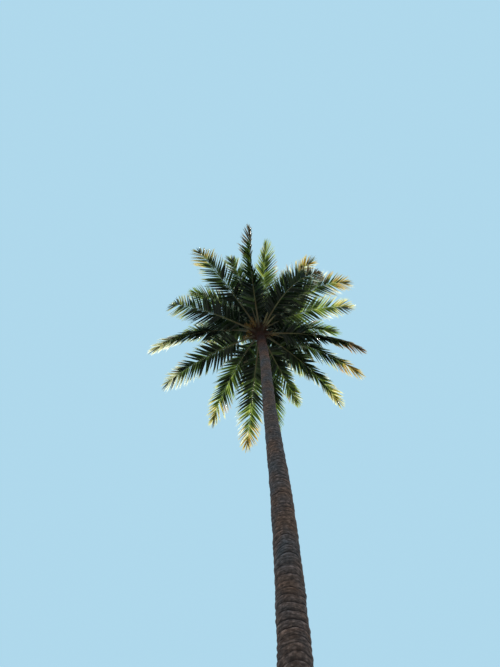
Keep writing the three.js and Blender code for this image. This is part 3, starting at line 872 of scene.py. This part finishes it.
# Ragged fibrous wings by which the foot of a stalk clasps the heart
def add_clasp(shape, frond):
    level = math.cos(math.radians(frond["launch"]))
    core = float(heart_radius(frond["seat"]))
    run = CLASP_START * (core - RIB_INSET) / max(0.3, level)
    part = np.linspace(0, 1, CLASP_ROWS)
    share = (run + CLASP_LENGTH * part) / frond["length"]
    point, _, side, _ = rib_frames(frond, share)
    outward = heading_of(frond["bearing"], 0)
    root = CLASP_ROOT * foot_width(frond, share)
    for hand in (-1, 1):
        ragged = 1 + CLASP_RAGGEDNESS * wander(13 * part + 3 * hand, CLASP_SEED + frond["index"])
        reach = frond["stout"] * CLASP_WIDTH * (1 - part) ** CLASP_TAPER * ragged
        out = reach[:, None] * np.linspace(0, 1, CLASP_COLUMNS) + root[:, None]
        bend = np.minimum(out**2 / (2 * core), core)
        points = point[:, None, :] + hand * out[..., None] * side[:, None, :] - bend[..., None] * outward
        shape.add(points, sheet_faces(CLASP_ROWS, CLASP_COLUMNS, False), 0)


# Heart: a fibrous sheath, with the wings of the stalks round it
def make_heart(materials, fronds):
    rise = np.linspace(0, HEART_HEIGHT, HEART_ROWS)
    angles = 2 * np.pi * np.arange(HEART_COLUMNS) / HEART_COLUMNS
    z, turn = np.meshgrid(rise, angles, indexing="ij")
    radius = heart_radius(z) + skin_waves(HEART_LUMPS, z, turn)
    points = np.stack([CROWN_X + radius * np.cos(turn), radius * np.sin(turn), TRUNK_HEIGHT + z], axis=-1)
    shape = Shape()
    shape.add(points, tube_faces(HEART_ROWS, HEART_COLUMNS), 0)
    for frond in fronds:
        add_clasp(shape, frond)
    piece = shape.build("crown_heart_sheath", [materials["fibre"]])
    finish_piece(piece, ["crown_heart"])


# One rib as a tube whose section runs clockwise, so its faces are turned over
def add_rib(shape, frond):
    point, _, side, over = rib_frames(frond, RIB_ROWS)
    section = np.array(RIB_SECTION)
    columns = len(section)
    width = foot_width(frond, RIB_ROWS)
    depth = rib_depth(frond, RIB_ROWS)
    across = section[None, :, 0, None] * width[:, None, None] * side[:, None, :]
    upward = section[None, :, 1, None] * depth[:, None, None] * over[:, None, :]
    points = point[:, None, :] + across + upward
    faces = sheet_faces(len(RIB_ROWS), columns, True)
    slots = np.digitize(RIB_ROWS[:-1, None] + SKIN_LAG * section[None, :, 1], SKIN_CHANGES).reshape(-1)
    last = (len(RIB_ROWS) - 1) * columns
    ends = [end_faces(0, columns, True), end_faces(last, columns, False)]
    end_slots = [np.full(columns - 2, skin) for skin in (0, len(RIB_SKINS) - 1)]
    shape.add(points, np.vstack([faces, *ends])[:, ::-1], np.concatenate([slots, *end_slots]))


# Leaflets of one frond as folded blades: neighbours lean together in tufts, some of which are missing
def add_leaflets(shape, frond):
    rng = np.random.default_rng([SEED, LEAFLET_SEED, frond["index"]])
    order, hand, tuft, leafy = deal_leaflets(rng)
    count = len(order)

    # Chance shared by a tuft, and a leaflet's own
    def scatter(common, own):
        return rng.normal(0, common, tuft.max() + 1)[tuft] + rng.normal(0, own, count)

    share = mix(frond["bare"], LEAFLETS_END, leafy)
    point, along, side, over = rib_frames(frond, share)
    angle = leaflet_angle(frond, leafy) + scatter(*ANGLE_SPREAD)
    angle += TUFT_LEAN * (order % TUFT_SIZE - (TUFT_SIZE - 1) / 2)
    angle = np.radians(angle * (1 - rng.uniform(size=count) * risen(leafy, TIP_FAN_FROM, 1)))
    lift = mix(LEAFLET_LIFT_BASE, LEAFLET_LIFT_TIP, leafy) - frond["hang"] * np.sin(np.pi * leafy**0.8)
    lift = np.radians(lift + scatter(*LIFT_SPREAD))
    outward = side * (hand * np.cos(lift))[:, None] + over * np.sin(lift)[:, None]
    heading = along * np.cos(angle)[:, None] + outward * np.sin(angle)[:, None]
    size = 0.5 + frond["length"] / 8.6
    length = LEAFLET_LENGTH * leaflet_length(leafy) * size * (LENGTH_GAIN + scatter(*LENGTH_SPREAD))
    width = LEAFLET_WIDTH * mix(WIDTH_SHARE_BASE, WIDTH_SHARE_TIP, leafy**1.5)
    width = width * rng.uniform(0.85, 1.1, count)
    root = point + side * (hand * rib_width(frond, share) * ROOT_OUT)[:, None]
    root += over * (ROOT_UP * rib_depth(frond, share))[:, None]
    tilt = hand * (LEAFLET_TILT + scatter(*TILT_SPREAD))
    sag = np.clip(LEAFLET_SAG + scatter(*SAG_SPREAD), 0.15, 0.7)
    blades = bend_blades(root, heading, along, hand, length, width, tilt, sag, rng)
    add_blades(shape, blades, leaflet_tints(frond, leafy, hand, scatter, rng))


# Order along the rib, side, tuft and place of each leaflet that is there
def deal_leaflets(rng):
    count = 2 * LEAFLETS_A_SIDE
    order = np.arange(count) // 2
    hand = np.tile([1.0, -1.0], LEAFLETS_A_SIDE)
    tuft = 2 * (order // TUFT_SIZE) + (hand < 0)
    place = (order + 0.5 + 0.25 * rng.uniform(-1, 1, count)) / LEAFLETS_A_SIDE
    leafy = 1 - (1 - place) ** LEAFLET_CROWDING
    missing = THINNING * risen(leafy, 0.35, 0.65) * (1 - risen(leafy, 0.88, 0.93))
    there = rng.uniform(size=tuft.max() + 1)[tuft] > missing
    return order[there], hand[there], tuft[there], leafy[there]


# Centre lines and edges of blades that sag more towards their ends
def bend_blades(root, heading, along, hand, length, width, tilt, sag, rng):
    count = len(root)
    rows = np.linspace(0, 1, LEAFLET_STEPS)
    outline = np.interp(rows, BLADE_PLACES, BLADE_WIDTHS)
    curl = rng.normal(0, BLADE_CURL, count)
    twist = rng.normal(0, BLADE_TWIST, count)
    centre = root.copy()
    across = unit(along - heading * np.sum(along * heading, axis=1, keepdims=True))
    points = []
    for k, row in enumerate(rows):
        across = unit(across - heading * np.sum(across * heading, axis=1, keepdims=True))
        spun = turned(across, heading, tilt + twist * row)
        above = np.cross(heading, spun) * -hand[:, None]
        half = (0.5 * width * outline[k])[:, None]
        fold = BLADE_FOLD * half
        points.append(np.stack([centre - spun * half, centre + above * fold, centre + spun * half], axis=1))
        centre = centre + heading * (length / (LEAFLET_STEPS - 1))[:, None]
        drop = (SAG_AT_ROOT + SAG_AT_END * row**1.3) * sag
        heading = unit(heading - UP * drop[:, None] + across * (curl * row)[:, None])
    return np.stack(points, axis=1)


# Tint of each stretch of each leaflet: dark near the heart, partly its own deeper green and partly painted
# shade of the inner crown, fresher outward, and at its end the frond's own or a dry one in patches, reached
# through a tone between the two
def leaflet_tints(frond, leafy, hand, scatter, rng):
    index = frond["index"]

    # Patches along the frond, each side with its own, that run over into one another by tufts
    def patches(pace, side, seed, common):
        return wander(leafy * pace + side * hand, seed + index) + scatter(common, 0.1)

    # Darker greens towards the heart: partly the leaflets' own deeper green, partly painted shade of the
    # inner crown
    shade = SHADE_START + SHADE_GAIN * leafy + 0.7 * wander(leafy * 9 + hand, SHADE_SEED + index)
    shade = shade + scatter(*SHADE_SPREAD)
    foot = np.clip(shade + frond["fresh"], 0, len(GREENS) - 1).astype(int)
    turning = risen(leafy, TURNING_FROM, TURNING_TO)
    own = patches(6, 2, OWN_TINT_SEED, 0.3) > 0.4 - 1.3 * turning
    straw_and_highlight = patches(5, -2, STRAW_AND_HIGHLIGHT_SEED, 0.4) > 0
    # The very tips turn pale straw: dry leaf and a painted highlight of the backlit tips
    straw_and_highlight |= (leafy > STRAW_AND_HIGHLIGHT_FROM) & (frond["tip"] != "brown")
    dry = np.where(straw_and_highlight, TINT_NAMES.index("straw_and_highlight"), TINT_NAMES.index("brown"))
    end = np.where(own & (turning > 0), TINT_NAMES.index(frond["tip"]), dry)
    # Patches of bluish grey: waxy underside and painted reflection of the sky
    ash_and_sheen_patches = patches(8, 3, ASH_AND_SHEEN_SEED, 0.3) > 1.3 - 0.6 * turning
    end = np.where(ash_and_sheen_patches, TINT_NAMES.index("ash_and_sky_sheen"), end)
    change = GREEN_SHARE + scatter(0.05, 0.05) - turning**1.4 * (GREEN_SHARE + scatter(0.2, 0.1))
    mellow = np.array([BETWEEN[TINT_NAMES[i]] for i in end])
    middle = np.where(mellow < 0, foot, mellow)
    stretch = (np.arange(LEAFLET_STEPS - 1) + 1) / (LEAFLET_STEPS - 1)
    beyond = stretch[None, :] - change[:, None]
    softened = np.where(beyond > 0, middle[:, None], foot[:, None])
    return np.where(beyond > rng.uniform(0.08, 0.3, len(leafy))[:, None], end[:, None], softened)


# Triangles of blades that are each three points wide: every change of tint runs slantwise, the green
# lasting longest along the fold and the margins drying first
def add_blades(shape, blades, tints):
    count, rows = blades.shape[:2]
    start = 3 * np.arange(rows - 1)[:, None]
    inner = np.stack([start + [0, 1, 4, 4], start + [1, 2, 4, 4]], axis=1).reshape(-1, 4)
    outer = np.stack([start + [0, 4, 3, 3], start + [2, 5, 4, 4]], axis=1).reshape(-1, 4)
    faces = np.vstack([inner, outer])
    block = faces[None] + (np.arange(count) * rows * 3)[:, None, None]
    row = np.repeat(np.arange(rows - 1), 2)
    slots = tints[:, np.concatenate([row, np.minimum(row + 1, rows - 2)])]
    sharp = np.tile([False, True, False], count * rows)
    shape.add(blades.reshape(-1, 3), block.reshape(-1, 4), slots.reshape(-1), sharp)


# Blade coordinates for the veins: across and along each leaflet
def add_blade_map(piece):
    mesh = piece.data
    layer = mesh.uv_layers.new(name="blade")
    corners = np.zeros(len(mesh.loops), np.int32)
    mesh.loops.foreach_get("vertex_index", corners)
    across = (corners % 3) / 2.0
    along = (corners // 3 % LEAFLET_STEPS) / (LEAFLET_STEPS - 1)
    layer.data.foreach_set("uv", np.stack([across, along * 8], axis=-1).astype(np.float32).reshape(-1))


def make_fronds(materials, fronds):
    for tier in FRONDS:
        members = [frond for frond in fronds if frond["tier"] == tier]
        ribs, leaflets = Shape(), Shape()
        for frond in members:
            add_rib(ribs, frond)
            add_leaflets(leaflets, frond)
        names = [frond["name"] for frond in members]
        piece = ribs.build(f"ribs_{tier}", [materials[n] for n in RIB_SKINS])
        finish_piece(piece, names)
        piece = leaflets.build(f"leaflets_{tier}", [materials[name] for name in TINT_NAMES])
        add_blade_map(piece)
        finish_piece(piece, names)


# Ring of points square to a direction, with a radius for each point
def turned_ring(centre, along, radii):
    side = unit(np.cross(UP, along))
    over = np.cross(along, side)
    angles = 2 * np.pi * np.arange(len(radii)) / len(radii)
    return centre + side * (radii * np.cos(angles))[:, None] + over * (radii * np.sin(angles))[:, None]


# Straight tube through centres, with a row of radii round each
def add_tube(shape, centres, along, radii, slot):
    points = np.vstack([turned_ring(c, along, r) for c, r in zip(centres, radii)])
    shape.add(points, tube_faces(*radii.shape), slot)


# Direction of a bearing and a launch in degrees
def heading_of(bearing, launch):
    level = math.cos(math.radians(launch))
    turn = math.radians(bearing)
    return np.array([level * math.cos(turn), level * math.sin(turn), math.sin(math.radians(launch))])


def seat_point(bearing, seat):
    return heading_of(bearing, 0) * RIB_INSET + np.array([CROWN_X, 0.0, TRUNK_HEIGHT + seat])


# Spathe: a grooved club on a stalk, drawn to a point
def make_spathes(materials):
    share = np.linspace(0, 1, SPATHE_ROWS)
    thickness = np.interp(share, SPATHE_PLACES, SPATHE_WIDTHS)
    turn = 2 * np.pi * np.arange(SPATHE_COLUMNS) / SPATHE_COLUMNS
    depth = np.minimum(1, 4 * share)[:, None]
    grooves = 1 + GROOVE_DEPTH * np.sin(SPATHE_GROOVES * turn)[None, :] * depth
    for i, (bearing, launch, length, radius, seat) in enumerate(SPATHES):
        along = heading_of(bearing, launch)
        radii = radius * thickness[:, None] * grooves
        centres = seat_point(bearing, seat) + along * (share * (length + RIB_INSET))[:, None]
        shape = Shape()
        add_tube(shape, centres, along, radii, 0)
        piece = shape.build(f"spathe_husk_{i + 1}", [materials["spathe"]])
        finish_piece(piece, [f"spathe_{i + 1}"])


def spear_centre(share):
    share = np.asarray(share, float)
    rise = TRUNK_HEIGHT + HEART_HEIGHT + SPEAR_LENGTH * share
    return np.stack([CROWN_X + SPEAR_LEAN * share**2, 0 * share, rise], axis=-1)


def spear_radius(share):
    return SPEAR_RADIUS * (1 - SPEAR_NARROWING * share**1.3)


# Spear leaf: pleated leaflets still folded round their rib, the topmost just letting go of it
def make_spear(materials):
    share = np.linspace(0, 1, SPEAR_ROWS)
    turn = 2 * np.pi * np.arange(SPEAR_COLUMNS) / SPEAR_COLUMNS
    pleats = 1 + PLEAT_DEPTH * np.sin(PLEATS * turn[None, :] + 5 * share[:, None])
    radii = spear_radius(share)[:, None] * pleats
    ring = np.stack([np.cos(turn), np.sin(turn), 0 * turn], axis=-1)
    points = spear_centre(share)[:, None, :] + radii[..., None] * ring[None]
    shape = Shape()
    shape.add(points, tube_faces(SPEAR_ROWS, SPEAR_COLUMNS), 0)
    piece = shape.build("spear_leaf_pleats", [materials["spear"]])
    finish_piece(piece, ["spear_leaf"])
    make_spear_blades(materials)


# Blades that stand close along the spear leaf
def make_spear_blades(materials):
    rng = np.random.default_rng([SEED, SPEAR_SEED])
    count = SPEAR_BLADES
    share = np.sort(rng.uniform(0.12, 0.93, count))
    around = rng.uniform(0, 2 * np.pi, count)
    outward = np.stack([np.cos(around), np.sin(around), 0 * around], axis=-1)
    root = spear_centre(share) + outward * (0.75 * spear_radius(share))[:, None]
    lean = np.radians(rng.uniform(1, 4, count) + 4 * share**3)[:, None]
    course = unit(spear_centre(share + 0.02) - spear_centre(share))
    heading = unit(course * np.cos(lean) + outward * np.sin(lean))
    along = unit(np.cross(outward, heading))
    length = np.minimum(SPEAR_BLADE_LENGTH, (1.03 - share) * SPEAR_LENGTH) * rng.uniform(0.8, 1.0, count)
    width = rng.uniform(0.016, 0.026, count)
    tilt, sag = rng.normal(0, 0.4, count), np.full(count, 0.3)
    blades = bend_blades(root, heading, along, np.ones(count), length, width, tilt, sag, rng)
    slots = rng.choice([GREENS.index("fresh"), GREENS.index("lime")], (count, 1))
    shape = Shape()
    add_blades(shape, blades, np.repeat(slots, LEAFLET_STEPS - 1, axis=1))
    piece = shape.build("spear_leaf_blades", [materials[name] for name in GREENS])
    add_blade_map(piece)
    finish_piece(piece, ["spear_leaf"])


# Small eight-sided bead
def add_bead(shape, centre, size, slot):
    corners = np.array([[1, 0, 0], [0, 1, 0], [-1, 0, 0], [0, -1, 0], [0, 0, 1], [0, 0, -1]]) * size
    sides = [(i, (i + 1) % 4, 4, 4) for i in range(4)] + [((i + 1) % 4, i, 5, 5) for i in range(4)]
    shape.add(centre + corners, sides, slot)


# Flower branch: a stalk with many sprigs set with small flowers, and a few button nuts at their feet
def make_flowers(materials):
    for index, (bearing, launch, length, sprigs, seat) in enumerate(FLOWER_BRANCHES):
        rng = np.random.default_rng([SEED, FLOWER_SEED, index])
        along = heading_of(bearing, launch)
        start = seat_point(bearing, seat)
        shape = Shape()
        stalk = np.linspace(0, 1, STALK_ROWS)
        radii = mix(STALK_RADIUS_BASE, STALK_RADIUS_TIP, stalk)[:, None] * np.ones((1, STALK_COLUMNS))
        add_tube(shape, start + along * (stalk * (length + RIB_INSET))[:, None], along, radii, 0)
        side = unit(np.cross(UP, along))
        over = np.cross(along, side)
        for i in range(sprigs):
            place = i / (sprigs - 1)
            share = mix(FIRST_SPRIG, LAST_SPRIG, place)
            around = i * GOLDEN_ANGLE
            spread = math.radians(mix(SPRIG_SPREAD_BASE, SPRIG_SPREAD_TIP, place) * rng.uniform(0.8, 1.1))
            outward = side * math.cos(around) + over * math.sin(around)
            direction = unit(along * math.cos(spread) + outward * math.sin(spread))
            add_sprig(shape, start + along * share * (length + RIB_INSET), direction, rng)
        slots = [materials[n] for n in ("flower_stalk", "flower", "button_nut")]
        piece = shape.build(f"flower_sprigs_{index + 1}", slots)
        finish_piece(piece, [f"flower_branch_{index + 1}"])


# Sprig that droops a little under its flowers, with a nut at the foot of every other one
def add_sprig(shape, start, direction, rng):
    length = rng.uniform(0.15, 0.24)
    share = np.linspace(0, 1, SPRIG_ROWS)
    centres = start + direction * (share * length)[:, None] - UP * (SPRIG_DROOP * share**2)[:, None]
    radii = mix(SPRIG_RADIUS_BASE, SPRIG_RADIUS_TIP, share)[:, None] * np.ones((1, SPRIG_COLUMNS))
    add_tube(shape, centres, direction, radii, 0)
    for place in np.linspace(0.15, 1.0, FLOWERS_A_SPRIG):
        centre = np.array([np.interp(place, share, centres[:, k]) for k in range(3)])
        add_bead(shape, centre + rng.normal(0, 0.004, 3), rng.uniform(0.0035, 0.006), 1)
    if rng.uniform() < NUT_SHARE:
        add_bead(shape, start + direction * NUT_PLACE, rng.uniform(0.010, 0.016), 2)


def finish_piece(piece, nodes):
    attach(piece, "root")
    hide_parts(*nodes)


def make_floor():
    mesh = bpy.data.meshes.new("floor")
    turn = 2 * np.pi * np.arange(FLOOR_CORNERS) / FLOOR_CORNERS
    rim = [FLOOR_RADIUS * np.cos(turn), FLOOR_RADIUS * np.sin(turn), 0 * turn - FLOOR_DROP]
    mesh.from_pydata(np.stack(rim, axis=-1).tolist(), [], [list(range(FLOOR_CORNERS))])
    floor = bpy.data.objects.new("floor", mesh)
    bpy.context.scene.collection.objects.link(floor)
    mesh.materials.append(new_material("floor", FLOOR_COLOUR, 0.9, 0.1))


def make_lights():
    world = bpy.data.worlds.new("sky")
    world.use_nodes = True
    background = world.node_tree.nodes["Background"]
    background.inputs["Color"].default_value = SKY_COLOUR
    background.inputs["Strength"].default_value = 1.0
    bpy.context.scene.world = world
    bpy.context.scene.view_settings.view_transform = "Standard"
    lamp = bpy.data.lights.new("sun", "SUN")
    lamp.energy = SUN_STRENGTH
    lamp.angle = math.radians(SUN_SPREAD)
    lamp.color = SUN_COLOUR
    sun = bpy.data.objects.new("sun", lamp)
    bpy.context.scene.collection.objects.link(sun)
    sun.rotation_euler = Vector(TOWARD_SUN).to_track_quat("Z", "Y").to_euler()


def make_camera():
    data = bpy.data.cameras.new("camera")
    data.lens = LENS_MM
    data.sensor_width = SENSOR_MM
    data.clip_end = VIEW_LIMIT
    camera = bpy.data.objects.new("camera", data)
    bpy.context.scene.collection.objects.link(camera)
    camera.location = (CROWN_X - EYE_LEFT, -EYE_BACK, EYE_HEIGHT)
    aim = Vector((CROWN_X - EYE_LEFT, 0.0, AIM_HEIGHT)) - camera.location
    camera.rotation_euler = aim.to_track_quat("-Z", "Y").to_euler()
    bpy.context.scene.camera = camera


def main():
    make_camera()
    materials = make_materials()
    make_trunk(materials)
    fronds = list_fronds()
    make_heart(materials, fronds)
    make_fronds(materials, fronds)
    make_spathes(materials)
    make_spear(materials)
    make_flowers(materials)
    make_floor()
    make_lights()


main()
